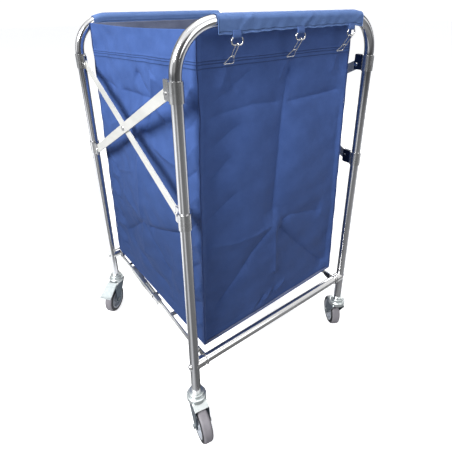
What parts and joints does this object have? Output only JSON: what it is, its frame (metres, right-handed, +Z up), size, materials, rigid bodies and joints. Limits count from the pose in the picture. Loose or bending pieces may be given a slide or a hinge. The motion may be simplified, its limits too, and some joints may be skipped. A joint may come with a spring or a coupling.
{
  "type": "folding laundry cart",
  "caption": "Folding X-frame laundry cart: two tubular arches on swivel casters, scissor bars, hinged floor links and a deep hanging cloth bag.",
  "frame": {"origin": "on the floor, midway between the four legs of the open cart", "axes": "+Z up, +X across the fold from arch b to arch a, +Y along the arches from front to rear"},
  "size_m": [0.7627, 0.7572, 1.0913],
  "materials": {
    "polished_tube": "polished stainless tube",
    "bolt_steel": "zinc-plated steel",
    "bracket_steel": "satin steel sleeve and ears",
    "strip_steel": "satin stainless flat strip",
    "cross_tube": "satin steel rod",
    "black_rod": "black rod",
    "zinc": "zinc-plated pressed steel",
    "tread_rubber": "grey rubber tread",
    "hub_plastic": "light grey plastic hub",
    "bag_cloth": "blue woven nylon cloth",
    "webbing": "dark blue woven webbing",
    "hook_wire": "nickel-plated wire"
  },
  "bodies": {
    "frame_b": {"arch_tube_b": "polished_tube", "lower_bar_b": "polished_tube", "lower_bar_bolts_b": "bolt_steel", "upper_brackets_b": "bracket_steel", "upper_rivets_b": "bolt_steel", "link_brackets_b": "bracket_steel", "caster_stems_b": "zinc", "bag_wall_b": "bag_cloth", "bag_flap_b": "bag_cloth", "webbing_tabs_b": "webbing", "hook_rings_b": "hook_wire", "snap_hooks_b": "hook_wire", "bag_side_front": "bag_cloth", "bag_side_rear": "bag_cloth", "bag_bottom": "bag_cloth"},
    "frame_a": {"arch_tube_a": "polished_tube", "lower_bar_a": "polished_tube", "lower_bar_bolts_a": "bolt_steel", "upper_brackets_a": "bracket_steel", "upper_rivets_a": "bolt_steel", "link_brackets_a": "bracket_steel", "caster_stems_a": "zinc", "bag_wall_a": "bag_cloth", "bag_flap_a": "bag_cloth", "webbing_tabs_a": "webbing", "hook_rings_a": "hook_wire", "snap_hooks_a": "hook_wire"},
    "bar_falling_front": {"scissor_bar_falling_front": "strip_steel", "scissor_mid_rivet_front": "bolt_steel"},
    "bar_rising_front": {"scissor_bar_rising_front": "strip_steel"},
    "bar_falling_rear": {"scissor_bar_falling_rear": "strip_steel", "scissor_mid_rivet_rear": "bolt_steel"},
    "bar_rising_rear": {"scissor_bar_rising_rear": "strip_steel"},
    "slider_a_front": {"sliding_bracket_a_front": "bracket_steel"},
    "slider_a_rear": {"sliding_bracket_a_rear": "bracket_steel"},
    "slider_b_front": {"sliding_bracket_b_front": "bracket_steel"},
    "slider_b_rear": {"sliding_bracket_b_rear": "bracket_steel"},
    "link_b": {"link_arms_b": "strip_steel", "link_channels": "strip_steel", "link_mid_rivets": "bolt_steel", "cross_tube_middle": "cross_tube", "cross_tube_b": "cross_tube", "thin_rod_b": "black_rod"},
    "link_a": {"link_arms_a": "strip_steel", "cross_tube_a": "cross_tube"},
    "caster_a_front": {"caster_fork_a_front": "zinc"},
    "wheel_a_front": {"caster_tread_a_front": "tread_rubber", "caster_hub_a_front": "hub_plastic"},
    "caster_a_rear": {"caster_fork_a_rear": "zinc"},
    "wheel_a_rear": {"caster_tread_a_rear": "tread_rubber", "caster_hub_a_rear": "hub_plastic"},
    "caster_b_front": {"caster_fork_b_front": "zinc"},
    "wheel_b_front": {"caster_tread_b_front": "tread_rubber", "caster_hub_b_front": "hub_plastic"},
    "pedal_b_front": {"brake_pedal_b_front": "zinc"},
    "caster_b_rear": {"caster_fork_b_rear": "zinc"},
    "wheel_b_rear": {"caster_tread_b_rear": "tread_rubber", "caster_hub_b_rear": "hub_plastic"},
    "pedal_b_rear": {"brake_pedal_b_rear": "zinc"}
  },
  "joints": [
    {"name": "fold", "type": "hinge", "parent": "frame_b", "child": "bar_falling_front", "pos_m": [-0.265, -0.2937, 0.946], "axis": [0, 1, 0], "range_deg": [0, 49.8], "deforming": ["bag_side_front", "bag_side_rear", "bag_bottom"]},
    {"name": "scissor_middle_front", "type": "hinge", "parent": "bar_falling_front", "child": "bar_rising_front", "pos_m": [0, -0.296, 0.8105], "axis": [0, 1, 0], "range_deg": [-99.6, 0]},
    {"name": "arch_a_pivot", "type": "hinge", "parent": "bar_rising_front", "child": "frame_a", "pos_m": [0.265, -0.2983, 0.946], "axis": [0, 1, 0], "range_deg": [0, 49.8]},
    {"name": "slider_a_front_pivot", "type": "hinge", "parent": "bar_falling_front", "child": "slider_a_front", "pos_m": [0.265, -0.2937, 0.675], "axis": [0, 1, 0], "range_deg": [-49.8, 0]},
    {"name": "slider_b_front_pivot", "type": "hinge", "parent": "bar_rising_front", "child": "slider_b_front", "pos_m": [-0.265, -0.2983, 0.675], "axis": [0, 1, 0], "range_deg": [0, 49.8]},
    {"name": "fold_rear", "type": "hinge", "parent": "frame_b", "child": "bar_falling_rear", "pos_m": [-0.265, 0.2937, 0.946], "axis": [0, 1, 0], "range_deg": [0, 49.8]},
    {"name": "scissor_middle_rear", "type": "hinge", "parent": "bar_falling_rear", "child": "bar_rising_rear", "pos_m": [0, 0.296, 0.8105], "axis": [0, 1, 0], "range_deg": [-99.6, 0]},
    {"name": "slider_a_rear_pivot", "type": "hinge", "parent": "bar_falling_rear", "child": "slider_a_rear", "pos_m": [0.265, 0.2937, 0.675], "axis": [0, 1, 0], "range_deg": [-49.8, 0]},
    {"name": "slider_b_rear_pivot", "type": "hinge", "parent": "bar_rising_rear", "child": "slider_b_rear", "pos_m": [-0.265, 0.2983, 0.675], "axis": [0, 1, 0], "range_deg": [0, 49.8]},
    {"name": "link_b_pivot", "type": "hinge", "parent": "frame_b", "child": "link_b", "pos_m": [-0.265, 0, 0.237], "axis": [0, 1, 0], "range_deg": [-75.23, 0]},
    {"name": "link_a_pivot", "type": "hinge", "parent": "frame_a", "child": "link_a", "pos_m": [0.265, 0, 0.237], "axis": [0, 1, 0], "range_deg": [0, 75.23]},
    {"name": "swivel_a_front", "type": "hinge", "parent": "frame_a", "child": "caster_a_front", "pos_m": [0.3, -0.296, 0.12], "axis": [0, 0, 1], "continuous": true},
    {"name": "spin_a_front", "type": "hinge", "parent": "caster_a_front", "child": "wheel_a_front", "pos_m": [0.3325, -0.30173, 0.049], "axis": [0.1736, 0.9848, 0], "continuous": true},
    {"name": "swivel_a_rear", "type": "hinge", "parent": "frame_a", "child": "caster_a_rear", "pos_m": [0.3, 0.296, 0.12], "axis": [0, 0, 1], "continuous": true},
    {"name": "spin_a_rear", "type": "hinge", "parent": "caster_a_rear", "child": "wheel_a_rear", "pos_m": [0.27201, 0.31349, 0.049], "axis": [-0.5299, -0.848, 0], "continuous": true},
    {"name": "swivel_b_front", "type": "hinge", "parent": "frame_b", "child": "caster_b_front", "pos_m": [-0.3, -0.296, 0.12], "axis": [0, 0, 1], "continuous": true},
    {"name": "spin_b_front", "type": "hinge", "parent": "caster_b_front", "child": "wheel_b_front", "pos_m": [-0.27879, -0.32128, 0.049], "axis": [0.766, 0.6428, 0], "continuous": true},
    {"name": "brake_b_front", "type": "hinge", "parent": "caster_b_front", "child": "pedal_b_front", "pos_m": [-0.27429, -0.32664, 0.106], "axis": [0.766, 0.6428, 0], "range_deg": [0, 13]},
    {"name": "swivel_b_rear", "type": "hinge", "parent": "frame_b", "child": "caster_b_rear", "pos_m": [-0.3, 0.296, 0.12], "axis": [0, 0, 1], "continuous": true},
    {"name": "spin_b_rear", "type": "hinge", "parent": "caster_b_rear", "child": "wheel_b_rear", "pos_m": [-0.32333, 0.31933, 0.049], "axis": [-0.7071, -0.7071, 0], "continuous": true},
    {"name": "brake_b_rear", "type": "hinge", "parent": "caster_b_rear", "child": "pedal_b_rear", "pos_m": [-0.32828, 0.32428, 0.106], "axis": [-0.7071, -0.7071, 0], "range_deg": [0, 13]}
  ],
  "couplings": [
    {"joint": "scissor_middle_front", "follows": "fold", "ratio": -2},
    {"joint": "arch_a_pivot", "follows": "fold", "ratio": 1},
    {"joint": "slider_a_front_pivot", "follows": "fold", "ratio": -1},
    {"joint": "slider_b_front_pivot", "follows": "fold", "ratio": 1},
    {"joint": "fold_rear", "follows": "fold", "ratio": 1},
    {"joint": "scissor_middle_rear", "follows": "fold", "ratio": -2},
    {"joint": "slider_a_rear_pivot", "follows": "fold", "ratio": -1},
    {"joint": "slider_b_rear_pivot", "follows": "fold", "ratio": 1},
    {"joint": "link_b_pivot", "follows": "fold", "ratio": -1.5107},
    {"joint": "link_a_pivot", "follows": "fold", "ratio": 1.5107}
  ]
}
